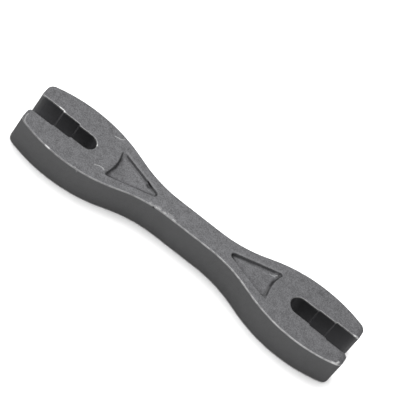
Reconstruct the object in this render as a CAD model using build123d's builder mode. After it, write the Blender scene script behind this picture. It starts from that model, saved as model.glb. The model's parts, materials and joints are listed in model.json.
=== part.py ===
"""Double-ended spoke wrench: one steel forging with a stepped slot in each head.

Millimetres. X runs along the wrench, Y across it and Z up through its thickness.
The origin is under the middle of the wrench, on the face it rests on.
The head at -X holds the three smaller spoke nipples, the head at +X the three larger.
"""

import os
from math import asin, cos, degrees, radians, sin, tan

from build123d import *

# Outline of the forging, seen from above
LENGTH = 101.6
THICKNESS = 8.9
WAIST_WIDTH = 7.2
HEAD_WIDTH = 21.0
HEAD_CENTRE = 36.8  # from the middle of the wrench to the widest place of a head
HEAD_RADIUS = 37.2  # of each long side of a head
WAIST_RADIUS = 31.9  # of the hollow that leads from the waist to a head
FLANK_ANGLE = 23.4  # of the short straight between that hollow and the head
TIP_RADIUS = 2.2  # outer corner of each jaw
MOUTH_RADIUS = 0.9  # inner corner of each jaw
RIM_RADIUS = 0.3  # broken edges of the top and bottom faces

# Slots: the openings across the flats, from the mouth inwards, and the x of the round bottom
SMALL_OPENINGS = (6.6, 6.0, 5.0)
SMALL_BOTTOM = 31.7
LARGE_OPENINGS = (7.0, 6.3, 5.6)
LARGE_BOTTOM = 31.1
STEP_PLACES = (43.7, 38.4)  # the middle of the ramp between one opening and the next
RAMP_LENGTH = 0.4

# Sunk panel between each slot and the waist, on the top and bottom faces
PANEL_TIP = 11.9
PANEL_TIP_RADIUS = 1.1
PANEL_SIDE_ANGLE = 19.2
PANEL_BASE = 25.9  # x of the panel's two corners
PANEL_BASE_BOW = 1.1  # how far the base bows from them towards the waist
PANEL_CORNER_RADIUS = 0.6
PANEL_DEPTH = 0.7
PANEL_DRAFT = 30.0

half_length = LENGTH / 2
half_waist = WAIST_WIDTH / 2
half_head = HEAD_WIDTH / 2


def blank_outline():
    """The forging's whole edge with its heads unslotted, mirrored from one quarter."""
    flank = radians(FLANK_ANGLE)
    head_start_x = HEAD_CENTRE - HEAD_RADIUS * sin(flank)
    head_start_y = half_head - HEAD_RADIUS * (1 - cos(flank))
    flank_rise = head_start_y - half_waist - WAIST_RADIUS * (1 - cos(flank))
    hollow_start_x = head_start_x - flank_rise / tan(flank) - WAIST_RADIUS * sin(flank)
    end_angle = degrees(asin((half_length - HEAD_CENTRE) / HEAD_RADIUS))

    waist_edge = Line((0, half_waist), (hollow_start_x, half_waist))
    hollow = JernArc(waist_edge @ 1, waist_edge % 1, WAIST_RADIUS, FLANK_ANGLE)
    flank_edge = Line(hollow @ 1, (head_start_x, head_start_y))
    head_side = JernArc(flank_edge @ 1, flank_edge % 1, HEAD_RADIUS, -FLANK_ANGLE - end_angle)
    Line(head_side @ 1, (half_length, 0))
    mirror(about=Plane.XZ)
    mirror(about=Plane.YZ)


def slot_plan(openings, bottom):
    """A slot that narrows in two steps to a round bottom, open past the end of the head at +X."""
    mouth, middle, inner = (opening / 2 for opening in openings)
    outer_step, inner_step = STEP_PLACES
    half_ramp = RAMP_LENGTH / 2
    with BuildSketch(mode=Mode.PRIVATE) as slot:
        with BuildLine():
            wall = Polyline(
                (half_length + 1, 0),
                (half_length + 1, mouth),
                (outer_step + half_ramp, mouth),
                (outer_step - half_ramp, middle),
                (inner_step + half_ramp, middle),
                (inner_step - half_ramp, inner),
                (bottom + inner, inner),
            )
            JernArc(wall @ 1, (-1, 0), inner, 90)
            mirror(about=Plane.XZ)
        make_face()
    return slot.sketch


def panel_plan():
    """The rim of the panel of the head at +X: a long triangle, point towards the waist."""
    side = radians(PANEL_SIDE_ANGLE)
    tip_end = (
        PANEL_TIP + PANEL_TIP_RADIUS * (1 - sin(side)),
        PANEL_TIP_RADIUS * cos(side),
    )
    corner = (PANEL_BASE, tip_end[1] + (PANEL_BASE - tip_end[0]) * tan(side))
    with BuildSketch(mode=Mode.PRIVATE) as panel:
        with BuildLine():
            JernArc((PANEL_TIP, 0), (0, 1), PANEL_TIP_RADIUS, PANEL_SIDE_ANGLE - 90)
            Line(tip_end, corner)
            mirror(about=Plane.XZ)
            ThreePointArc(corner, (PANEL_BASE - PANEL_BASE_BOW, 0), (corner[0], -corner[1]))
        make_face()
        fillet(panel.vertices().group_by(Axis.X)[-1], radius=PANEL_CORNER_RADIUS)
    return panel.sketch


def end_vertices(sketch):
    """A sketch's vertices on the end faces of both heads, those nearest the X axis first."""
    ends = sketch.vertices().filter_by(lambda corner: abs(corner.X) > half_length - 0.001)
    return ends.sort_by(lambda corner: abs(corner.Y))


# the space of one sunk panel, mirrored to the other end and then to the bottom face
with BuildPart() as panel_space:
    with BuildSketch(Plane.XY.offset(THICKNESS)):
        add(panel_plan())
    extrude(amount=-PANEL_DEPTH, taper=PANEL_DRAFT)
    mirror(about=Plane.YZ)
    mirror(about=Plane.XY.offset(THICKNESS / 2))

with BuildPart() as wrench_body:
    with BuildSketch() as plan:
        with BuildLine():
            blank_outline()
        make_face()
        outer_corners = end_vertices(plan)[-4:]
        fillet(outer_corners, radius=TIP_RADIUS)
        add(slot_plan(LARGE_OPENINGS, LARGE_BOTTOM), mode=Mode.SUBTRACT)
        add(mirror(slot_plan(SMALL_OPENINGS, SMALL_BOTTOM), about=Plane.YZ), mode=Mode.SUBTRACT)
        mouth_corners = end_vertices(plan)[:4]
        fillet(mouth_corners, radius=MOUTH_RADIUS)
    extrude(amount=THICKNESS)
    fillet(wrench_body.faces().filter_by(Axis.Z).edges(), radius=RIM_RADIUS)
    add(panel_space.part, mode=Mode.SUBTRACT)

os.makedirs("parts", exist_ok=True)
wrench_body.part.label = "wrench_body"
export_step(wrench_body.part, "parts/wrench_body.step")
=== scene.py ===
# %% [markdown]
# # A double-ended spoke wrench
#
# The real wrench is one piece of steel: a short bar, hammered flat between dies, with a stepped slot cut
# into each head. There is nothing to assemble, so everything that makes it look real is in its edge, its
# two sunk panels, its blasted skin and the bright line along its rims, partly wear and partly a painted
# highlight.
#
# The work goes roughly in the order a forge works in: the outline first, then the flat blank, then its
# thickness, rims, panels and marks, and last the finish.

# %% The frame
import json
import math

import bpy
import numpy as np
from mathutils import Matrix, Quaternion, Vector, geometry, kdtree


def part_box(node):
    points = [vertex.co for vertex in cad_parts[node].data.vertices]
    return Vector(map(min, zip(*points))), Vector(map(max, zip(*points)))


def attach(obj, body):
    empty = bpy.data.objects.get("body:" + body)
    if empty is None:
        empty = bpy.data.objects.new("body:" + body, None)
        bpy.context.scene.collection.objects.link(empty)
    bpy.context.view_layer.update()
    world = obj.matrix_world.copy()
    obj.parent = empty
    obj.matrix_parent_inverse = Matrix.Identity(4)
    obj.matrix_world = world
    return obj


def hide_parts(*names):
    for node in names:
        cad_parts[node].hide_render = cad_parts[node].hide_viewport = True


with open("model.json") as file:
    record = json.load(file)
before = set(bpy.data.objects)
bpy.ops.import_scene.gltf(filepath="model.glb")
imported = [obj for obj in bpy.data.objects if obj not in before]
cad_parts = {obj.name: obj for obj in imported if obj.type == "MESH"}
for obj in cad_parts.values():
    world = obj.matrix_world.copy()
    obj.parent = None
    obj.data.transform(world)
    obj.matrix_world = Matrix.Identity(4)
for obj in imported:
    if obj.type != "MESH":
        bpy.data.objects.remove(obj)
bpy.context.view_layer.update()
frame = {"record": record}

MM = 0.001
NODE = "wrench_body"
low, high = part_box(NODE)
HALF_LENGTH = (high.x - low.x) / 2 / MM
HALF_HEAD = (high.y - low.y) / 2 / MM
THICKNESS = (high.z - low.z) / MM
print(f"frame: {2 * HALF_LENGTH:.1f} x {2 * HALF_HEAD:.1f} x {THICKNESS:.1f} mm")

# %% [markdown]
# ## One way to add any node
#
# Both the shape and the finish are made with nodes. Two small classes keep that readable. `Graph` adds a
# node of any type: its settings first, then the values or links of its sockets. `Signal` wraps an output
# socket, so that an expression such as `1 - mask * 0.5` adds its Math nodes by itself.


# %% Nodes as Python expressions
class Signal:
    """An output socket that Python's operators work on. Each operation adds one Math node."""

    def __init__(self, graph, socket):
        self.graph = graph
        self.socket = socket

    def math(self, operation, *values):
        return self.graph.node("ShaderNodeMath", {"operation": operation}, dict(enumerate(values)))

    def __add__(self, other):
        return self.math("ADD", self, other)

    def __sub__(self, other):
        return self.math("SUBTRACT", self, other)

    def __mul__(self, other):
        return self.math("MULTIPLY", self, other)

    def __truediv__(self, other):
        return self.math("DIVIDE", self, other)

    def __rsub__(self, other):
        return self.math("SUBTRACT", other, self)

    def __rtruediv__(self, other):
        return self.math("DIVIDE", other, self)

    __radd__ = __add__
    __rmul__ = __mul__

    def at_least(self, other):
        return self.math("MAXIMUM", self, other)

    def at_most(self, other):
        return self.math("MINIMUM", self, other)

    def ramp(self, start, end):
        """0 up to start, 1 from end on, and a smooth step between them."""
        settings = {"interpolation_type": "SMOOTHSTEP"}
        return self.graph.node("ShaderNodeMapRange", settings, {0: self, 1: start, 2: end})


class Graph:
    """A node tree, with one method that adds any node."""

    def __init__(self, tree):
        self.tree = tree

    def feed(self, socket, value):
        """Link a signal to an input socket, or set the socket to a value."""
        if isinstance(value, Signal):
            self.tree.links.new(value.socket, socket)
        else:
            socket.default_value = value

    def node(self, kind, settings=None, sockets=None, output=0):
        node = self.tree.nodes.new(kind)
        for name, value in (settings or {}).items():
            setattr(node, name, value)
        for key, value in (sockets or {}).items():
            self.feed(node.inputs[key], value)
        return Signal(self, node.outputs[output])

    def other(self, signal, name):
        """Another output of the node that a signal comes from."""
        return Signal(self, signal.socket.node.outputs[name])


# %% [markdown]
# ## The plan edge
#
# Seen from above, the wrench is bounded by one closed line: along the waist, round a head to its tip, into
# the slot, back out and on to the other head. Drawing it as a Bezier curve would make each stretch only
# nearly right. It is walked instead, as a draughtsman would describe it: a straight run, then a turn of a
# given radius. Only one quarter of each head is walked, because the other quarter is its mirror image.

# %% Sizes of the plan, in millimetres
HALF_WAIST = 3.6
HEAD_CENTRE = 36.8
HEAD_RADIUS = 37.2
WAIST_RADIUS = 31.9
FLANK_ANGLE = 23.4
TIP_RADIUS = 2.2
MOUTH_RADIUS = 0.9
STEP_PLACES = (43.7, 38.4)
RAMP_LENGTH = 0.4
SLOT_BOTTOMS = {"small": 31.7, "large": 31.1}

flats = {mount["name"]: mount["pos_m"] for mount in frame["record"]["mounts"]}
HALF_OPENINGS = {
    "small": [flats[name][1] / MM for name in ("flat_6_6", "flat_6_0", "flat_5_0")],
    "large": [flats[name][1] / MM for name in ("flat_7_0", "flat_6_3", "flat_5_6")],
}
print("half openings, mouth to bottom:", HALF_OPENINGS)

# %% A walk over the plan
SPACING = 0.32  # between the points of the finished mesh
CORNER_GUARD = 0.09  # a point this near each side of a sharp corner keeps it crisp
FEWEST_STEPS = 5  # in even the smallest turn


class Walk:
    """A line over the plan: straight runs and turns, left behind as points."""

    def __init__(self, start, heading):
        self.points = [np.array(start, float)]
        self.heading = math.radians(heading)

    def run(self, length, guarded=False):
        start = self.points[-1]
        along = np.array((math.cos(self.heading), math.sin(self.heading)))
        count = max(1, math.ceil(length / SPACING))
        steps = list(np.linspace(0, length, count + 1)[1:])
        if guarded:
            steps = sorted([CORNER_GUARD, length - CORNER_GUARD] + steps[:-1]) + [length]
        self.points += [start + along * step for step in steps]

    def turn(self, radius, angle):
        """An arc, to the left if the angle is positive. A radius of 0 only changes the heading."""
        swing = math.radians(angle)
        if radius:
            side = math.copysign(1, swing)
            inward = self.heading + side * math.pi / 2
            centre = self.points[-1] + radius * np.array((math.cos(inward), math.sin(inward)))
            count = max(FEWEST_STEPS, math.ceil(radius * abs(swing) / SPACING))
            for share in np.linspace(0, 1, count + 1)[1:]:
                out = inward + math.pi + swing * share
                self.points.append(centre + radius * np.array((math.cos(out), math.sin(out))))
        self.heading += swing


trial = Walk((0, 0), 0)
trial.turn(TIP_RADIUS, -90)
print(f"a quarter turn of a tip's radius takes {len(trial.points)} points")


# %% One quarter of a head
def head_quarter(openings, bottom):
    """From the middle of the waist's +Y edge, round the head at +X, to the bottom of its slot."""
    flank = math.radians(FLANK_ANGLE)
    flank_start_y = HALF_WAIST + WAIST_RADIUS * (1 - math.cos(flank))
    head_start_x = HEAD_CENTRE - HEAD_RADIUS * math.sin(flank)
    head_start_y = HALF_HEAD - HEAD_RADIUS * (1 - math.cos(flank))
    flank_rise = head_start_y - flank_start_y
    hollow_start_x = head_start_x - flank_rise / math.tan(flank) - WAIST_RADIUS * math.sin(flank)
    tip_centre_x = HALF_LENGTH - TIP_RADIUS
    tip_angle = math.asin((tip_centre_x - HEAD_CENTRE) / (HEAD_RADIUS - TIP_RADIUS))
    tip_centre_y = HALF_HEAD - HEAD_RADIUS + (HEAD_RADIUS - TIP_RADIUS) * math.cos(tip_angle)
    mouth, middle, inner = openings
    outer_step, inner_step = STEP_PLACES

    walk = Walk((0, HALF_WAIST), 0)
    walk.run(hollow_start_x)
    walk.turn(WAIST_RADIUS, FLANK_ANGLE)
    walk.run(flank_rise / math.sin(flank))
    walk.turn(HEAD_RADIUS, -FLANK_ANGLE - math.degrees(tip_angle))
    walk.turn(TIP_RADIUS, math.degrees(tip_angle) - 90)
    walk.run(tip_centre_y - mouth - MOUTH_RADIUS)
    walk.turn(MOUTH_RADIUS, -90)
    place = HALF_LENGTH - MOUTH_RADIUS
    for step, wide, narrow in ((outer_step, mouth, middle), (inner_step, middle, inner)):
        ramp_angle = math.degrees(math.atan2(wide - narrow, RAMP_LENGTH))
        walk.run(place - step - RAMP_LENGTH / 2, guarded=True)
        walk.turn(0, ramp_angle)
        walk.run(math.hypot(wide - narrow, RAMP_LENGTH), guarded=True)
        walk.turn(0, -ramp_angle)
        place = step - RAMP_LENGTH / 2
    walk.run(place - bottom - inner, guarded=True)
    walk.turn(inner, 90)
    return np.array(walk.points)


large = head_quarter(HALF_OPENINGS["large"], SLOT_BOTTOMS["large"])
small = head_quarter(HALF_OPENINGS["small"], SLOT_BOTTOMS["small"])
for name, quarter in {"large": large, "small": small}.items():
    print(f"{name} quarter: {len(quarter)} points, its slot's bottom at x = {quarter[-1, 0]:.2f}")

# %% The whole edge, clockwise from the middle of the waist's +Y side
plan_edge = np.concatenate(
    [
        large[:-1],
        large[::-1][:-1] * (1, -1),
        small[:-1] * (-1, -1),
        small[::-1][:-1] * (-1, 1),
    ]
)
edge_length = np.linalg.norm(np.roll(plan_edge, -1, 0) - plan_edge, axis=1).sum()
print(f"plan edge: {len(plan_edge)} points, {edge_length:.0f} mm round")

# %% [markdown]
# ## Where the rims are rubbed and highlighted
#
# A wrench that lies in a drawer and is turned by hand gets bright rims, but not evenly. Here the bright
# line is partly that wear and partly a painted highlight. It is brightest where the edge faces -Y, a little
# brighter where it faces -X, brighter on the larger head than on the smaller one, and dimmer on the slots'
# own rims than outside. This could be painted by hand. It is worked out for each point of the edge from the
# way that point faces, so it goes round every corner smoothly, and the finish reads it later.

# %% The worn and highlighted share of each point of the edge
SLOT_ZONE = (31.0, 3.6)  # the slots' walls lie past this x and nearer to the middle than this y
SIDE_ON_WEAR_AND_SHEEN = 0.5  # where the edge faces neither +Y nor -Y
MINUS_X_WEAR_AND_SHEEN = 0.25  # how much more wear and painted highlight it gets where it faces -X
LEAST_WEAR_AND_SHEEN = 0.2
SLOT_WEAR_AND_SHEEN = 0.63
WAIST_WEAR_AND_SHEEN = 0.8
HEAD_WEAR_AND_SHEEN = 0.25  # how much more than the waist the large head gets, and how much less the small one


def in_slot(edge):
    """Which points of the edge are on the walls of a slot."""
    start, half_width = SLOT_ZONE
    return (np.abs(edge[:, 1]) < half_width) & (np.abs(edge[:, 0]) > start)


def wear_and_highlight_share(edge):
    """Wear and painted highlight at each point of the edge: most where it faces -Y, and more at +X."""
    along = np.roll(edge, -1, 0) - np.roll(edge, 1, 0)
    faces_plus_y = along[:, 0] / np.linalg.norm(along, axis=1)
    faces_minus_x = along[:, 1] / np.linalg.norm(along, axis=1)
    # facing -Y, and less so -X, adds a painted highlight to the wear
    share = np.clip(SIDE_ON_WEAR_AND_SHEEN - faces_plus_y + MINUS_X_WEAR_AND_SHEEN * faces_minus_x, LEAST_WEAR_AND_SHEEN, 1)
    outside_use = WAIST_WEAR_AND_SHEEN + HEAD_WEAR_AND_SHEEN * edge[:, 0] / HEAD_CENTRE
    return share * np.where(in_slot(edge), SLOT_WEAR_AND_SHEEN, outside_use)


edge_wear_and_highlight = wear_and_highlight_share(plan_edge)
print(f"use: {edge_wear_and_highlight.min():.2f} to {edge_wear_and_highlight.max():.2f}, on average {edge_wear_and_highlight.mean():.2f}")

# %% [markdown]
# ## The panel's rim
#
# Each head has a shallow sunk panel between its slot and the waist: a long triangle that points to the
# waist, with rounded corners and a base that bows towards the point. It is walked in the same way. The
# base's arc meets the sides at rounded corners, whose turn is worked out from the angles on each side.

# %% Walk the panel's rim
PANEL_TIP = 11.9
PANEL_TIP_RADIUS = 1.1
PANEL_SIDE_ANGLE = 19.2
PANEL_BASE = 26.15
PANEL_BASE_BOW = 1.1
PANEL_CORNER_RADIUS = 0.6
PANEL_SHIFT = (0, -0.18)  # the dies that sink the panels sit a little to one side


def panel_rim():
    """The rim of the panel of the head at +X, clockwise from its point."""
    side = math.radians(PANEL_SIDE_ANGLE)
    tip_centre = PANEL_TIP + PANEL_TIP_RADIUS
    side_start_x = tip_centre - PANEL_TIP_RADIUS * math.sin(side)
    side_start = np.array((side_start_x, PANEL_TIP_RADIUS * math.cos(side)))
    half_base = side_start[1] + (PANEL_BASE - side_start[0]) * math.tan(side)
    base_radius = (half_base**2 + PANEL_BASE_BOW**2) / (2 * PANEL_BASE_BOW)
    base_centre = PANEL_BASE - PANEL_BASE_BOW + base_radius

    # the corner's own centre is one corner radius inside the side and one outside the base's arc
    normal = np.array((math.sin(side), -math.cos(side)))
    foot = side_start + normal * PANEL_CORNER_RADIUS
    along = np.array((math.cos(side), math.sin(side)))
    reach = base_radius + PANEL_CORNER_RADIUS
    offset = foot - (base_centre, 0)
    half_b = offset @ along
    travel = -half_b - math.sqrt(half_b**2 - offset @ offset + reach**2)
    corner_centre = foot + along * travel
    bow_angle = math.asin(corner_centre[1] / reach)

    walk = Walk((PANEL_TIP, 0), 90)
    walk.turn(PANEL_TIP_RADIUS, PANEL_SIDE_ANGLE - 90)
    walk.run(travel)
    walk.turn(PANEL_CORNER_RADIUS, -PANEL_SIDE_ANGLE - 90 - math.degrees(bow_angle))
    walk.turn(base_radius, math.degrees(bow_angle))
    upper = np.array(walk.points)
    return np.concatenate([upper[:-1], upper[::-1][:-1] * (1, -1)])


large_rim = panel_rim() + PANEL_SHIFT
small_rim = panel_rim()[::-1] * (-1, 1) + PANEL_SHIFT
print(f"panel rim: {len(large_rim)} points, base corner at y = {large_rim[:, 1].max():.2f} mm")

# %% [markdown]
# ## Marks of its making and use
#
# No two forgings are the same. This one has thin raised scars where the die had cracked, their tops
# brightened partly by wear and partly by a painted highlight, nicks in one rim and in the panels, painted
# dark as shade, short stretches of rim that are burnished and painted bright as glints, and a patch of the
# waist's rim that is rubbed rough. Pasting such marks on as small meshes would leave seams, so they are
# drawn as short lines over the plan. The shape's tree measures each point's distance from the nearest line,
# and swells, sinks or marks the steel there.

# %% Marks, in millimetres
MARKS = {
    "Scars": (
        ((-29.6, 7.3), (-28.2, 7.6), (-27.6, 8.1), (-27.2, 8.5)),
        ((-29.0, -5.0), (-28.05, -4.4), (-27.0, -4.2), (-26.4, -4.5)),
        ((-35.7, 2.75), (-35.6, 2.8)),
        ((-32.4, -9.9), (-32.0, -10.1), (-31.7, -10.13, 0.3), (-31.5, -10.12, 0.7)),
        ((22.9, 3.0, 0.6), (24.1, 3.3, 0.5), (25.1, 4.3, 0.3)),
        ((47.9, -8.5), (49.4, -8.0), (49.75, -7.0)),
        ((-49.5, -8.0), (-49.9, -7.3), (-50.15, -6.2), (-50.1, -5.2)),
    ),
    "Nicks": (
        ((-11.0, -3.98, 0.3), (-10.7, -3.95, 0.5)),
        ((-15.9, 1.75, 0.3), (-15.1, 1.45, 0.45), (-14.5, 1.2, 0.5)),
        ((-15.5, 1.2, 0.6), (-14.9, 1.0, 0.6)),
        ((24.3, -4.4, 0.6), (24.4, -4.5, 0.6)),
    ),
    "Glints": (
        ((-41.5, -10.2), (-40.5, -10.3)),
        ((-45.2, 3.35), (-44.2, 3.35), (-43.5, 3.1)),
        ((-31.8, 0.9), (-31.75, 0.7)),
        ((49.2, 3.6), (50.2, 3.9)),
        ((48.3, -8.6), (49.5, -8.1), (49.8, -7.1)),
    ),
    "Rubs": (
        ((-11.9, -4.0), (-10.1, -3.7), (-8.0, -3.3), (-5.0, -3.3)),
    ),
}


def drawn_lines(name, lines):
    """A hidden object whose edges follow the given lines. A third number is a depth below the top face."""
    mesh = bpy.data.meshes.new(name)
    points = [point for line in lines for point in line]
    places = [(x * MM, y * MM, (THICKNESS - sum(below)) * MM) for x, y, *below in points]
    edges = []
    first = 0
    for line in lines:
        edges += [(first + i, first + i + 1) for i in range(len(line) - 1)]
        first += len(line)
    mesh.from_pydata(places, edges, [])
    drawn = bpy.data.objects.new(name, mesh)
    bpy.context.scene.collection.objects.link(drawn)
    return drawn


marks = {name: drawn_lines(name, lines) for name, lines in MARKS.items()}
print("marks:", {name: len(lines) for name, lines in MARKS.items()})

# %% [markdown]
# ## Where the dies miss, and where shade is painted
#
# Two more kinds of unevenness belong to places, not to lines. Steel doesn't quite fill the corners of a
# die, so a panel is shallower there. And the shade painted at the foot of a panel's walls is stronger along
# some of its walls than along others, with a few painted shadow patches on its floor. Each is a soft round
# spot: a centre, a reach and a strength.

# %% Spots, in millimetres
# where a panel is shallower, and the share of its depth that is missing
SHALLOWS = (
    ((-25.2, 4.9), 1.0, 0.75),
    ((-25.2, -5.0), 0.7, 0.2),
    ((24.4, 4.0), 0.6, 0.45),
    ((25.3, -5.1), 1.2, 0.8),
)
# painted shadow patches on the floor of a panel: where, and how darkly
SHADOW_PATCHES = (
    ((-24.6, -1.6), 2.4, 0.5),
    ((-23.8, 1.2), 1.4, 0.3),
    ((13.4, 0.5), 1.0, 0.6),
    ((12.7, -0.8), 0.8, 0.7),
    ((24.2, -3.6), 1.2, 0.3),
)
# where the shade painted at the foot of a panel's wall is stronger or weaker than usual
SHADE_SPOTS = (
    ((-25.0, -3.4), 2.0, 0.9),
    ((-24.8, 0.5), 2.4, 0.6),
    ((-19.5, -3.6), 4.0, -0.4),
    ((-19.5, 3.2), 3.0, -0.35),
    ((-15.1, 1.4), 0.9, 0.8),
    ((12.4, 0.0), 1.4, 1.3),
    ((24.8, 0.8), 2.4, 0.5),
    ((25.0, -3.4), 1.6, 0.5),
    ((18.0, 3.0), 5.0, 0.35),
    ((14.6, -1.9), 1.8, -0.7),
    ((18.0, -3.2), 2.2, -0.9),
    ((22.0, -4.5), 2.2, -0.9),
)


def spot(places, centre, reach):
    """1 at the centre, and less and less further out: 0.37 at the reach, 0.02 at twice the reach."""
    away = np.linalg.norm(places - centre, axis=1)
    return np.exp(-((away / reach) ** 2))


# the stained spots are painted shadow, and the spots with other scale make the painted shade stronger or
# weaker
print(f"spots: {len(SHALLOWS)} shallow, {len(SHADOW_PATCHES)} stained, {len(SHADE_SPOTS)} with other scale")

# %% [markdown]
# ## The flat blank
#
# A face this size could be one polygon, but a forged face isn't flat: it needs points all over it to carry
# the rounding at its rim, the panels' soft walls and the unevenness of the skin. A plain grid can't follow
# the curved edge without stair steps. So lines that run beside the edge and beside the panel rims are laid
# first, closest together where the surface turns most, and a Delaunay triangulation joins them to an even
# field of points between.

# %% Distances on the plan
CLEAR_SHARE = 0.985  # a moved point nearer to its line than this share of the inset has crossed a corner


def gap_to(line, points):
    """Each point's distance from a closed line, and whether it is inside it."""
    step = np.roll(line, -1, 0) - line
    length_squared = (step**2).sum(1)
    gaps = np.full(len(points), np.inf)
    inside = np.zeros(len(points), bool)
    for (x, y), (dx, dy), squared in zip(line, step, length_squared):
        px = points[:, 0] - x
        py = points[:, 1] - y
        share = np.clip((px * dx + py * dy) / squared, 0, 1)
        gaps = np.minimum(gaps, np.hypot(px - share * dx, py - share * dy))
        crosses = (py < 0) != (py < dy)
        if abs(dy) > 0:
            inside ^= crosses & (px < py * dx / dy)
    return gaps, inside


def depth_inside(rim, points):
    """How deep each point is inside a closed line. It is negative outside it."""
    gaps, inside = gap_to(rim, points)
    return np.where(inside, gaps, -gaps)


def beside(line, inset):
    """The closed line that runs beside a clockwise one, to its inside where the inset is positive."""
    ahead = np.roll(line, -1, 0) - line
    ahead /= np.linalg.norm(ahead, axis=1)[:, None]
    behind = np.roll(ahead, 1, 0)
    inward = np.stack([ahead[:, 1] + behind[:, 1], -ahead[:, 0] - behind[:, 0]], 1)
    inward /= (1 + (ahead * behind).sum(1))[:, None]
    moved_line = line + inward * inset
    gaps, _ = gap_to(line, moved_line)
    return moved_line[gaps > abs(inset) * CLEAR_SHARE]


middle_gap, _ = gap_to(plan_edge, np.zeros((1, 2)))
print(f"the middle of the wrench is {middle_gap[0]:.2f} mm from its edge")

# %% Lines beside the edge and the panels' rims
RIM_RADIUS = 0.2
RIM_TURNS = (90, 60, 30, 0)  # degrees round the rim, from the wall to the face
FACE_LINES = [0.32, 0.5]  # two more lines keep the rim's rounding from spreading over the face
RIM_LINES = [RIM_RADIUS * (1 - math.sin(math.radians(angle))) for angle in RIM_TURNS] + FACE_LINES
# how far inside a panel's rim each of its lines runs, with those outside it below 0
PANEL_LINES = (-0.32, -0.18, -0.08, 0.02, 0.12, 0.22, 0.34, 0.48, 0.66, 0.9)


def guide_lines():
    """The edge itself, then the lines beside it and beside each panel's rim."""
    lines = [beside(plan_edge, inset) if inset else plan_edge for inset in RIM_LINES]
    for rim in (large_rim, small_rim):
        lines += [beside(rim, inset) for inset in PANEL_LINES]
    return lines


guides = guide_lines()
print(f"guides: {len(guides)} closed lines, {sum(len(line) for line in guides)} points")

# %% Loose points along the scars, and an even field
MARK_SPACING = 0.1
MARK_OFFSETS = (-0.22, -0.11, 0.0, 0.11, 0.22)  # of the rows on each side of a scar


def fine_line(corners):
    """Closely spaced points along a drawn line."""
    corners = [corner[:2] for corner in corners]
    points = [np.array(corners[0])]
    for start, end in zip(corners, corners[1:]):
        step = np.subtract(end, start)
        count = max(1, round(np.linalg.norm(step) / MARK_SPACING))
        points += [start + step * i / count for i in range(1, count + 1)]
    return points


def scar_points():
    """Rows of points along each raised scar, where they clear the edge's own lines."""
    rows = [np.array(fine_line(scar)) + (0, offset) for scar in MARKS["Scars"] for offset in MARK_OFFSETS]
    places = np.concatenate(rows)
    gaps, inside = gap_to(plan_edge, places)
    return places[inside & (gaps > RIM_LINES[-1])]


def even_field():
    """Rows of points over the rest of the blank, every other row half a step along."""
    half_step = SPACING / 2
    rows = np.arange(-HALF_HEAD, HALF_HEAD, SPACING * math.sqrt(3) / 2)
    columns = np.arange(-HALF_LENGTH, HALF_LENGTH, SPACING)
    field = np.array([(x + half_step * (i % 2), y) for i, y in enumerate(rows) for x in columns])
    keep = depth_inside(plan_edge, field) > RIM_LINES[-1] + half_step
    for rim in (large_rim, small_rim):
        depth = depth_inside(rim, field)
        keep &= (depth < PANEL_LINES[0] - half_step) | (depth > PANEL_LINES[-1] + half_step)
    return field[keep]


scar_rows = scar_points()
field = even_field()
print(f"loose points: {len(scar_rows)} along the scars, {len(field)} in the field")

# %% Join the points with triangles
SAME_POINT = 1e-5  # millimetres
INSIDE_ONLY = 1  # the triangulation's output type that keeps only what the closed lines enclose


def triangles_over_plan():
    """Every point's place on the plan, and the triangles between them."""
    points = []
    edges = []
    for line in guides:
        first = len(points)
        points += [Vector(place) for place in line]
        edges += [(first + i, first + (i + 1) % len(line)) for i in range(len(line))]
    points += [Vector(place) for place in np.concatenate([scar_rows, field])]
    made = geometry.delaunay_2d_cdt(points, edges, [], INSIDE_ONLY, SAME_POINT)
    places = np.array([tuple(place) for place in made[0]])
    faces = [tuple(face) for face in made[2]]
    return places, faces


places, faces = triangles_over_plan()
print(f"plan: {len(places)} points, {len(faces)} triangles")

# %% [markdown]
# ## What each point knows
#
# The shape and the finish both follow from where a point is: how far from the edge, how deep inside a
# panel's rim, and which spots it lies in. Working that out again in every node would be slow and hard to
# read. It is worked out once here and stored on the mesh as attributes, which both trees then read by name.

# %% Measure each point
LIP_PLACE = -0.28  # a lip's painted highlight is brightest at this depth inside the panel's rim, so just outside it
WALL_PLACE = 0.3  # and the painted light on a wall at this one
HIGHLIGHT_REACH = 0.3
WALL_HIGHLIGHT = 1.5  # the one wall painted lighter, compared with a highlighted lip
SIDES_END = 25.0  # a panel's long sides end at about this x


def nearest_wear_and_highlight(places):
    """How much wear and painted highlight the nearest point of the edge gets."""
    finder = kdtree.KDTree(len(plan_edge))
    for i, (x, y) in enumerate(plan_edge):
        finder.insert((x, y, 0), i)
    finder.balance()
    return np.array([edge_wear_and_highlight[finder.find((x, y, 0))[1]] for x, y in places])


def panel_highlight(places, panel_depth):
    """A painted highlight on each panel's +Y lip, and painted light on the large head's panel wall at -Y."""
    on_a_side = np.abs(places[:, 0]) < SIDES_END
    plus_y_side = np.clip(places[:, 1], 0, 1) * on_a_side
    minus_y_side = np.clip(-places[:, 1], 0, 1) * on_a_side * (places[:, 0] > 0)
    wear_and_sheen = plus_y_side * np.exp(-(((panel_depth - LIP_PLACE) / HIGHLIGHT_REACH) ** 2))
    wear_and_sheen += minus_y_side * np.exp(-(((panel_depth - WALL_PLACE) / HIGHLIGHT_REACH) ** 2)) * WALL_HIGHLIGHT
    return wear_and_sheen


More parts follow.
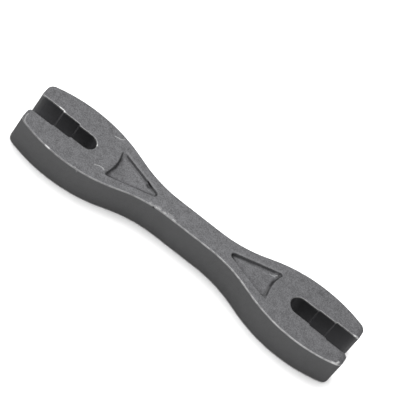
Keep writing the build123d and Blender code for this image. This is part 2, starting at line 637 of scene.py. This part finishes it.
def measured(places):
    """What each point of the sheet knows, by attribute name."""
    edge_gap, _ = gap_to(plan_edge, places)
    panel_depth = np.maximum(depth_inside(large_rim, places), depth_inside(small_rim, places))
    fullness = np.ones(len(places))
    for centre, reach, missing in SHALLOWS:
        fullness *= 1 - missing * spot(places, centre, reach)
    stain = np.zeros(len(places))
    for centre, reach, strength in SHADOW_PATCHES:
        stain = np.maximum(stain, strength * spot(places, centre, reach))
    scale_share = np.ones(len(places))
    for centre, reach, strength in SHADE_SPOTS:
        scale_share += strength * spot(places, centre, reach)
    return {
        "edge_gap": edge_gap * MM,
        "panel_depth": panel_depth * MM,
        "fullness": fullness,
        "stain": stain,
        "scale_share": scale_share.clip(0),
        "panel_highlight": panel_highlight(places, panel_depth),
        "wear_and_highlight": nearest_wear_and_highlight(places),
    }


measures = measured(places)
for name, values in measures.items():
    print(f"{name}: {values.min():.4f} to {values.max():.4f}")

# %% The blank's mesh
blank_mesh = bpy.data.meshes.new("blank")
blank_mesh.from_pydata([(x * MM, y * MM, 0) for x, y in places], [], faces)
for name, values in measures.items():
    blank_mesh.attributes.new(name, "FLOAT", "POINT").data.foreach_set("value", values)
blank = bpy.data.objects.new("blank", blank_mesh)
bpy.context.scene.collection.objects.link(blank)
print(f"blank: {len(blank_mesh.vertices)} points, {len(blank_mesh.polygons)} triangles")

# %% [markdown]
# ## From blank to forging
#
# The shape follows a rule, so Geometry Nodes make it. The blank is lifted to the top face, where each point
# drops by an amount that depends on its distance from the edge, a quarter circle at the rim, and on its
# depth inside a panel. The same sheet, turned over, is the bottom face. The blank's boundary, swept along
# an upright line, is the wall between them. Merged, the three are one closed skin. Noise then moves that
# skin in or out by a few hundredths of a millimetre, as broad dents from the hammer and fine pits from the
# shot.

# %% Sizes of the forging
SIZES = {
    "Thickness": THICKNESS * MM,
    "Rim radius": RIM_RADIUS * MM,
    "Panel depth": 0.7 * MM,
    "Panel wall": 0.56 * MM,
    "Panel foot": 2.0 * MM,
    "Panel lip": 0.05 * MM,
    # the width of the shade painted at the foot of a panel's wall
    "Panel shade reach": 1.3 * MM,
    "Row height": 0.33 * MM,
    "End reach": 1.5 * MM,
    "Half length": HALF_LENGTH * MM,
    "Dent depth": 0.07 * MM,
    "Dent size": 3.5 * MM,
    "Pit depth": 0.03 * MM,
    "Pit size": 0.9 * MM,
    "Scar height": 0.1 * MM,
    "Scar width": 0.24 * MM,
    "Nick depth": 0.28 * MM,
    "Nick width": 0.42 * MM,
    "Glint width": 0.4 * MM,
    "Rub width": 1.1 * MM,
}
SEED = 4.0
print(f"{len(SIZES)} sizes, from {min(SIZES.values()) / MM:.2f} to {max(SIZES.values()) / MM:.1f} mm")


# %% Read, store and move, the three things done most often
def read(graph, name):
    """An attribute that each point carries."""
    return graph.node("GeometryNodeInputNamedAttribute", {"data_type": "FLOAT"}, {"Name": name})


def stored(piece, name, value):
    """The same piece with one more attribute."""
    settings = {"data_type": "FLOAT", "domain": "POINT"}
    sockets = {"Geometry": piece, "Name": name, "Value": value}
    return piece.graph.node("GeometryNodeStoreNamedAttribute", settings, sockets)


def moved(piece, sockets):
    """The same piece with its points at a new Position, or moved by an Offset."""
    return piece.graph.node("GeometryNodeSetPosition", None, {"Geometry": piece, **sockets})


def vector(graph, x=0.0, y=0.0, z=0.0):
    """A vector from its three parts, which are numbers or signals."""
    return graph.node("ShaderNodeCombineXYZ", None, {0: x, 1: y, 2: z})


def place_of_a_point(graph):
    """Its x, y and z."""
    place = graph.node("GeometryNodeInputPosition")
    x = graph.node("ShaderNodeSeparateXYZ", None, {0: place}, "X")
    return x, graph.other(x, "Y"), graph.other(x, "Z")


# %% The top and bottom faces
WALL_SHARE = 0.85  # of a panel's depth is in its wall, and the rest in the slow slope of its floor
SHADE_PEAK = 0.4  # the share of the painted shade's width at which it is darkest


def two_faces(graph, given):
    """The blank lifted to the top face, and the same sheet turned over for the bottom one."""
    rim_radius = given["Rim radius"]
    lip = given["Panel lip"]
    edge_gap = read(graph, "edge_gap")
    panel_depth = read(graph, "panel_depth")
    fullness = read(graph, "fullness")

    short_of_rim = (rim_radius - edge_gap).at_least(0)
    level = (rim_radius * rim_radius - short_of_rim * short_of_rim).at_least(0)
    rim_drop = rim_radius - level.math("SQRT", level)
    steep = panel_depth.ramp(0 - lip, given["Panel wall"] - lip)
    gentle = panel_depth.ramp(0.0, given["Panel foot"])
    sunk = (steep * WALL_SHARE + gentle * (1 - WALL_SHARE)) * fullness
    bottom_z = rim_drop + sunk * given["Panel depth"]
    top_z = given["Thickness"] - bottom_z

    # painted shade where a panel's wall meets its floor, with painted shadow patches on the floor
    peak = given["Panel shade reach"] * SHADE_PEAK
    rise = panel_depth.ramp(lip, peak)
    film = rise * (1 - panel_depth.ramp(peak, given["Panel shade reach"])) * read(graph, "scale_share")
    film = film.at_least(read(graph, "stain") * rise) * fullness
    # how far a point is round the rim: below 0 on the face, 0 to 1 round it, above 1 on the wall
    rim_turn = 1 - edge_gap / rim_radius

    x, y, _ = place_of_a_point(graph)
    upper = moved(given["Blank"], {"Position": vector(graph, x, y, top_z)})
    lower = moved(given["Blank"], {"Position": vector(graph, x, y, bottom_z)})
    lower = graph.node("GeometryNodeFlipFaces", None, {"Mesh": lower})
    return [stored(stored(face, "rim_turn", rim_turn), "film", film) for face in (lower, upper)]


# %% The wall between them
def side_wall(graph, given):
    """The plan edge, swept along an upright line that leaves room for both rims."""
    rim_radius = given["Rim radius"]
    wall_top = given["Thickness"] - rim_radius
    edge = graph.node("GeometryNodeObjectInfo", None, {"Object": given["Plan edge"]}, "Geometry")
    rail = graph.node("GeometryNodeMeshToCurve", None, {"Mesh": edge})
    rail = graph.node("GeometryNodeSetCurveNormal", {"mode": "Z_UP"}, {"Curve": rail})
    # along the rail, the upright line's -Y points up
    ends = {"Start": vector(graph, y=0 - rim_radius), "End": vector(graph, y=0 - wall_top)}
    upright = graph.node("GeometryNodeCurvePrimitiveLine", None, ends)
    rows = (wall_top - rim_radius) / given["Row height"]
    rows = rows.math("CEIL", rows)
    upright = graph.node("GeometryNodeResampleCurve", None, {"Curve": upright, "Count": rows + 1})
    wall = graph.node("GeometryNodeCurveToMesh", None, {"Curve": rail, "Profile Curve": upright})

    _, _, z = place_of_a_point(graph)
    to_rim = (wall_top - z).at_most(z - rim_radius)
    return stored(stored(wall, "rim_turn", 1 + to_rim / rim_radius), "wall", 1.0)


# %% Dents, pits and marks
def noise_swell(graph, given, name, detail, seed_step=0.0):
    """A swell of the skin by noise, half of it outwards and half inwards."""
    sockets = {
        "Vector": graph.node("GeometryNodeInputPosition"),
        "W": given["Seed"] + seed_step,
        "Scale": 1 / given[f"{name} size"],
        "Detail": detail,
    }
    noise = graph.node("ShaderNodeTexNoise", {"noise_dimensions": "4D"}, sockets)
    return (noise - 0.5) * given[f"{name} depth"]


def near(graph, lines, width):
    """1 on a drawn line, falling to 0 at the given distance from it."""
    drawn = graph.node("GeometryNodeObjectInfo", None, {"Object": lines}, "Geometry")
    gap = graph.node("GeometryNodeProximity", {"target_element": "EDGES"}, {0: drawn}, "Distance")
    return 1 - gap.ramp(0.0, width)


def marked(graph, given, skin):
    """The skin with its marks stored on it, dented, pitted, scarred and nicked."""
    scar = near(graph, given["Scars"], given["Scar width"])
    nick = near(graph, given["Nicks"], given["Nick width"])
    skin = stored(stored(skin, "scar", scar), "nick", nick)
    skin = stored(skin, "glint", near(graph, given["Glints"], given["Glint width"]))
    skin = stored(skin, "rub", near(graph, given["Rubs"], given["Rub width"]))

    dents = noise_swell(graph, given, "Dent", detail=2.0)
    pits = noise_swell(graph, given, "Pit", detail=3.0, seed_step=7.0)
    swells = dents + pits + scar * given["Scar height"] - nick * given["Nick depth"]
    sockets = {"Vector": graph.node("GeometryNodeInputNormal"), "Scale": swells}
    return moved(skin, {"Offset": graph.node("ShaderNodeVectorMath", {"operation": "SCALE"}, sockets)})


# %% Thinner ends
END_ROLL = 0.06  # the share of its thickness that the wrench loses at its very ends


def thinned(graph, given, skin):
    """The skin, pressed towards its middle height over the last stretch of each end."""
    x, _, z = place_of_a_point(graph)
    from_end = given["Half length"] - x.math("ABSOLUTE", x)
    roll = 1 - from_end.at_least(0.0).at_most(given["End reach"]) / given["End reach"]
    rolled = (z - given["Thickness"] * 0.5) * roll * roll * (0 - END_ROLL)
    return moved(skin, {"Offset": vector(graph, z=rolled)})


# %% The forging tree
MERGE_GAP = 0.002 * MM  # points nearer to each other than this become one


def forging_tree():
    """From the blank to the finished skin: three pieces, one skin, its marks, its ends and its finish."""
    tree = bpy.data.node_groups.new("forging", "GeometryNodeTree")
    tree.interface.new_socket("Blank", in_out="INPUT", socket_type="NodeSocketGeometry")
    for name, value in {**SIZES, "Seed": SEED}.items():
        size = tree.interface.new_socket(name, in_out="INPUT", socket_type="NodeSocketFloat")
        size.default_value = value
    for name in ("Plan edge", *MARKS):
        tree.interface.new_socket(name, in_out="INPUT", socket_type="NodeSocketObject")
    tree.interface.new_socket("Finish", in_out="INPUT", socket_type="NodeSocketMaterial")
    tree.interface.new_socket("Forging", in_out="OUTPUT", socket_type="NodeSocketGeometry")

    graph = Graph(tree)
    inputs = graph.node("NodeGroupInput")
    given = {socket.name: Signal(graph, socket) for socket in inputs.socket.node.outputs if socket.name}
    pieces = graph.node("GeometryNodeJoinGeometry")
    for piece in (side_wall(graph, given), *two_faces(graph, given)):
        graph.feed(pieces.socket.node.inputs[0], piece)
    skin = graph.node("GeometryNodeMergeByDistance", None, {"Geometry": pieces, "Distance": MERGE_GAP})
    skin = thinned(graph, given, marked(graph, given, skin))
    skin = graph.node("GeometryNodeSetShadeSmooth", None, {"Geometry": skin})
    skin = graph.node("GeometryNodeRealizeInstances", None, {"Geometry": skin})
    skin = graph.node("GeometryNodeSetMaterial", None, {"Geometry": skin, "Material": given["Finish"]})
    result = tree.nodes.new("NodeGroupOutput")
    graph.feed(result.inputs[0], skin)
    return tree


forging = forging_tree()
print(f"forging tree: {len(forging.nodes)} nodes")

# %% [markdown]
# ## The finish: blasted steel
#
# After forging, the wrench is tumbled in shot. That leaves bare steel with an even, dull, mid-grey grain,
# made of thousands of tiny overlapping dimples. One fine noise makes the grain: as bump it gives each
# dimple its glint, and as colour it varies the grey from speck to speck. A broader one keeps large areas
# from looking printed. Where hands and drawers have rubbed the rims, the grain is polished off: the steel
# there is lighter and smoother, in a broken line, and a painted highlight is added along that line. A few
# short glints are painted bright as well. The slot walls are painted darker as shade, and so are the foot
# of each panel's wall, a few patches on the panels' floors and the nicks.

# %% Colours and sizes of the finish
STEEL_DARK = (0.054, 0.054, 0.056, 1)
STEEL_LIGHT = (0.124, 0.124, 0.129, 1)
TRIMMED_STEEL = (0.082, 0.082, 0.083, 1)
# painted shade inside the slots
SLOT_SHADE = (0.055, 0.055, 0.058, 1)
# painted shade at the foot of the panels' walls, on their floors and in the nicks
PAINTED_SHADE = (0.02, 0.02, 0.021, 1)
# worn rims and scars, partly a painted highlight
WORN_AND_LIT_STEEL = (0.33, 0.33, 0.33, 1)
# burnished spots, painted bright as glinting highlights
BURNISHED_GLINT_STEEL = (0.7, 0.7, 0.7, 1)
GRAIN_SIZE = 0.3 * MM
MOTTLE_SIZE = 2.2 * MM
BREAK_SIZE = 5 * GRAIN_SIZE  # of the gaps in a rubbed line
DIMPLE_DEPTH = 0.05 * MM
GRIP = (8 * MM, 46 * MM)  # fingers brighten the waist up to the first x, less and less up to the second
# the darkest grey is painted shade and the lightest a painted glint
print(f"steel: greys from {PAINTED_SHADE[0]} in the scale to {BURNISHED_GLINT_STEEL[0]} where it is burnished")

# %% How strong each layer is, from 0 to 1
MOTTLE_SHARE = 0.25  # of the grey, and the fine grain has the rest
HELD_LIFT = 0.03  # how much lighter the grey is where the wrench is held
TONE_RANGE = (0.305, 0.705)  # the grain's value for the darkest steel and for the lightest
TRIM_SHARE = 0.8  # of the trimmed side walls over the grain
PANEL_SHADE_SHARES = (0.25, 0.45)  # of the painted shade everywhere, and the part that comes and goes with the mottling
# of the painted shade in a nick
NICK_SHADE_SHARE = 0.9
PATCH_SHARE = 0.65
# of the painted highlight on the panels' lips and one wall
LIP_HIGHLIGHT_SHARE = 0.1
# of the wear and painted highlight on a scar's top
SCAR_WEAR_AND_SHEEN = 0.6
STEEL_METALLIC = 0.8
STEEL_TINT = (0.35, 0.35, 0.35, 1)  # of the steel's shine where it is seen edge-on
print(f"the film is {PANEL_SHADE_SHARES[0]:.2f} to {sum(PANEL_SHADE_SHARES):.2f} strong")


# %% Blasted steel
def blasted_steel():
    """The bare grain, the trimmed walls, painted shade, and last the wear with its painted highlights."""
    finish = bpy.data.materials.new("blasted_steel")
    finish.use_nodes = True
    graph = Graph(finish.node_tree)
    shader = finish.node_tree.nodes["Principled BSDF"]
    place = graph.node("ShaderNodeTexCoord", output="Object")

    def noise(size, detail, roughness=0.5):
        sockets = {"Vector": place, "Scale": 1 / size, "Detail": detail, "Roughness": roughness}
        return graph.node("ShaderNodeTexNoise", None, sockets)

    def mixed(share, first, second):
        settings = {"data_type": "RGBA"}
        return graph.node("ShaderNodeMix", settings, {0: share, 6: first, 7: second}, output=2)

    def attribute(name):
        return graph.node("ShaderNodeAttribute", {"attribute_name": name}, output="Fac")

    # the grey of the grain, lighter where the wrench is held
    grain = noise(GRAIN_SIZE, 2.0, 0.6)
    mottle = noise(MOTTLE_SIZE, 3.0)
    broken = noise(BREAK_SIZE, 2.0)
    x = graph.node("ShaderNodeSeparateXYZ", None, {0: place}, "X")
    held = 1 - x.math("ABSOLUTE", x).ramp(*GRIP)
    tone = grain * (1 - MOTTLE_SHARE) + mottle * MOTTLE_SHARE + held * HELD_LIFT
    tone = tone.ramp(*TONE_RANGE)
    colour = mixed(tone, STEEL_DARK, STEEL_LIGHT)
    colour = mixed(attribute("wall") * TRIM_SHARE, colour, TRIMMED_STEEL)
    # painted shade in the slots, deepest far inside
    colour = mixed(attribute("slot"), colour, SLOT_SHADE)
    steady, mottled = PANEL_SHADE_SHARES
    # painted shade at the foot of the panels' walls and on their floors, and the nicks painted dark as shade
    film = attribute("film") * (steady + mottle.ramp(0.3, 0.65) * mottled)
    colour = mixed(film.at_least(attribute("nick") * NICK_SHADE_SHARE), colour, PAINTED_SHADE)

    # the rims' bright line, worn and partly a painted highlight: a point's turn is 0 where the face ends and
    # 1 where the wall starts
    turn = attribute("rim_turn")
    line = turn.ramp(-0.3, 0.6) * (1 - turn.ramp(1.3, 2.4))
    wear_and_sheen = line * attribute("wear_and_highlight") * (0.5 + broken.ramp(0.3, 0.6) * 0.5)
    # the rough patch breaks up over the grain and stops at the wall
    patch = attribute("rub") * (1 - turn.ramp(0.9, 1.6)) * broken.ramp(0.36, 0.6)
    patch = patch * (0.25 + grain.ramp(0.35, 0.6)) * PATCH_SHARE
    # the panels' lips and one wall get a painted highlight
    wear_and_sheen = wear_and_sheen.at_least(patch).at_least(attribute("panel_highlight") * LIP_HIGHLIGHT_SHARE)
    # scars' tops, partly worn and partly painted highlight
    colour = mixed(wear_and_sheen.at_least(attribute("scar") * SCAR_WEAR_AND_SHEEN), colour, WORN_AND_LIT_STEEL)
    # burnished spots on the rims, painted bright as glinting highlights
    burnish_and_glint = attribute("glint") * line.at_least(0.35)
    colour = mixed(burnish_and_glint, colour, BURNISHED_GLINT_STEEL)

    # dimples are shallower on the trimmed walls and under the wear and painted highlight, and the steel is
    # smoother there
    height = grain * (1 - attribute("wall") * 0.7) * (1 - wear_and_sheen * 0.5)
    sockets = {"Strength": 0.4, "Distance": DIMPLE_DEPTH, "Height": height}
    dimples = graph.node("ShaderNodeBump", None, sockets)
    graph.feed(shader.inputs["Base Color"], colour)
    graph.feed(shader.inputs["Roughness"], 0.5 + grain * 0.12 - wear_and_sheen * 0.15)
    graph.feed(shader.inputs["Normal"], dimples)
    graph.feed(shader.inputs["Metallic"], STEEL_METALLIC)
    graph.feed(shader.inputs["Specular Tint"], STEEL_TINT)
    return finish


steel = blasted_steel()
print(f"blasted steel: {len(steel.node_tree.nodes)} nodes")

# %% [markdown]
# ## Make the forging
#
# The tree gets its sheet, its edge, its marks and its finish here. The edge is a mesh of its own, with two
# attributes that the sweep carries up the wall: how much wear and painted highlight each point gets, and how
# much painted shade a slot's wall gets. The result is then copied to a plain mesh, because that is what
# rides on the frame, and everything that only helped to make it is taken away.

# %% The edge as a mesh
SHADE_START = 1.4  # the painted shade grows to full strength over this stretch past a slot's mouth
CORNER_UNSHADED = 0.8  # the share of the mouth's corner that is left without painted shade
RAMP_SHADE = 0.5  # how much of the painted shade is left where the slot narrows
RAMP_REACH = 0.6 * RAMP_LENGTH  # each side of the middle of a ramp


def slot_shading(edge):
    """How much painted shade each point of the edge gets: none outside, all of it deep in a slot."""
    from_end = HALF_LENGTH - np.abs(edge[:, 0])
    # painted shade, none at the mouth's corner and full deeper in
    skin = in_slot(edge) * np.clip((from_end - MOUTH_RADIUS * CORNER_UNSHADED) / SHADE_START, 0, 1)
    for step in STEP_PLACES:
        on_the_ramp = np.abs(np.abs(edge[:, 0]) - step) < RAMP_REACH
        skin[on_the_ramp] *= RAMP_SHADE
    return skin


edge_mesh = bpy.data.meshes.new("plan_edge")
edge_places = [(x * MM, y * MM, 0) for x, y in plan_edge]
edge_count = len(plan_edge)
edge_mesh.from_pydata(edge_places, [(i, (i + 1) % edge_count) for i in range(edge_count)], [])
# painted shade for the slots, and wear with painted highlight for the rims
for name, values in {"slot": slot_shading(plan_edge), "wear_and_highlight": edge_wear_and_highlight}.items():
    edge_mesh.attributes.new(name, "FLOAT", "POINT").data.foreach_set("value", values)
plan_line = bpy.data.objects.new("plan_edge", edge_mesh)
bpy.context.scene.collection.objects.link(plan_line)
print(f"edge: {edge_count} points, {int(in_slot(plan_edge).sum())} of them in the slots")

# %% From the tree to a plain mesh
modifier = blank.modifiers.new("forging", "NODES")
modifier.node_group = forging
identifiers = {item.name: item.identifier for item in forging.interface.items_tree if item.in_out == "INPUT"}
for name, thing in {**marks, "Plan edge": plan_line, "Finish": steel}.items():
    modifier[identifiers[name]] = thing

depsgraph = bpy.context.evaluated_depsgraph_get()
body_mesh = bpy.data.meshes.new_from_object(blank.evaluated_get(depsgraph), depsgraph=depsgraph)
body = bpy.data.objects.new("wrench_forging", body_mesh)
bpy.context.scene.collection.objects.link(body)
blank.modifiers.remove(modifier)
for helper in (blank, plan_line, *marks.values()):
    bpy.data.objects.remove(helper)

triangles = sum(len(face.vertices) - 2 for face in body_mesh.polygons)
print(f"forging: {len(body_mesh.vertices)} points, {triangles} triangles")

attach(body, "root")
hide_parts(NODE)

# %% [markdown]
# ## Floor and light
#
# A small dark tool shows best on a pale floor under a broad soft light, because then the bright line of
# each rim draws its shape. The one lamp hangs almost overhead, a little to +Y and to -X. Its light glances
# off the rims towards the camera, while the walls that face the camera stay dark, and a pale surround keeps
# them from going black.

# %% Floor
FLOOR_HALF = 3.0
FLOOR_GAP = 0.02 * MM  # keeps the floor from showing through the face that rests on it

floor_z = low.z - FLOOR_GAP
floor_mesh = bpy.data.meshes.new("floor")
floor_corners = [(x * FLOOR_HALF, y * FLOOR_HALF, floor_z) for x, y in ((-1, -1), (1, -1), (1, 1), (-1, 1))]
floor_mesh.from_pydata(floor_corners, [], [(0, 1, 2, 3)])
floor = bpy.data.objects.new("floor", floor_mesh)
bpy.context.scene.collection.objects.link(floor)

pale = bpy.data.materials.new("pale_floor")
pale.use_nodes = True
pale_shader = pale.node_tree.nodes["Principled BSDF"]
pale_shader.inputs["Base Color"].default_value = (0.92, 0.92, 0.92, 1)
pale_shader.inputs["Roughness"].default_value = 0.9
pale_shader.inputs["Specular IOR Level"].default_value = 0.1
floor_mesh.materials.append(pale)
print(f"floor: {2 * FLOOR_HALF:.0f} m square, {FLOOR_GAP / MM:.2f} mm under the wrench")

# %% Light
LAMP_PLACE = Vector((-0.2, 0.22, 0.98))
LAMP_SIZE = 1.4
LAMP_POWER = 20
SURROUND = 0.55

lamp = bpy.data.lights.new("overhead_light", "AREA")
lamp.shape = "DISK"
lamp.size = LAMP_SIZE
lamp.energy = LAMP_POWER
lamp_holder = bpy.data.objects.new("overhead_light", lamp)
lamp_holder.location = LAMP_PLACE
lamp_holder.rotation_mode = "QUATERNION"
lamp_holder.rotation_quaternion = (-LAMP_PLACE).to_track_quat("-Z", "Y")
bpy.context.scene.collection.objects.link(lamp_holder)

world = bpy.data.worlds.new("studio")
world.use_nodes = True
world.node_tree.nodes["Background"].inputs["Color"].default_value = (1, 1, 1, 1)
world.node_tree.nodes["Background"].inputs["Strength"].default_value = SURROUND
bpy.context.scene.world = world
bpy.context.scene.view_settings.view_transform = "Standard"
print(f"lamp: {LAMP_POWER} W, {LAMP_PLACE.length:.2f} m from the wrench")

# %% [markdown]
# ## Camera
#
# The camera looks down on the wrench from -Y at about 45 degrees, and is rolled so that the wrench lies
# slantwise across the frame. It stands well off and has a long lens, which keeps the two heads nearly the
# same size, as they are. Close up with a short lens, the nearer parts would loom.

# %% Camera
LENS = 225.0
CAMERA_PLACE = Vector((-1.84, -438.88, 463.37)) * MM
CAMERA_AIM = Vector((-2.73, 12.25, 4.45)) * MM
CAMERA_ROLL = 37.825

camera_data = bpy.data.cameras.new("camera")
camera_data.lens = LENS
camera_data.clip_start = 0.01
camera = bpy.data.objects.new("camera", camera_data)
camera.location = CAMERA_PLACE
camera.rotation_mode = "QUATERNION"
upright_look = (CAMERA_AIM - CAMERA_PLACE).to_track_quat("-Z", "Y")
camera.rotation_quaternion = upright_look @ Quaternion((0, 0, 1), math.radians(CAMERA_ROLL))
bpy.context.scene.collection.objects.link(camera)
bpy.context.scene.camera = camera
print(f"camera: {(CAMERA_PLACE - CAMERA_AIM).length / MM:.0f} mm away, {LENS:.0f} mm lens")
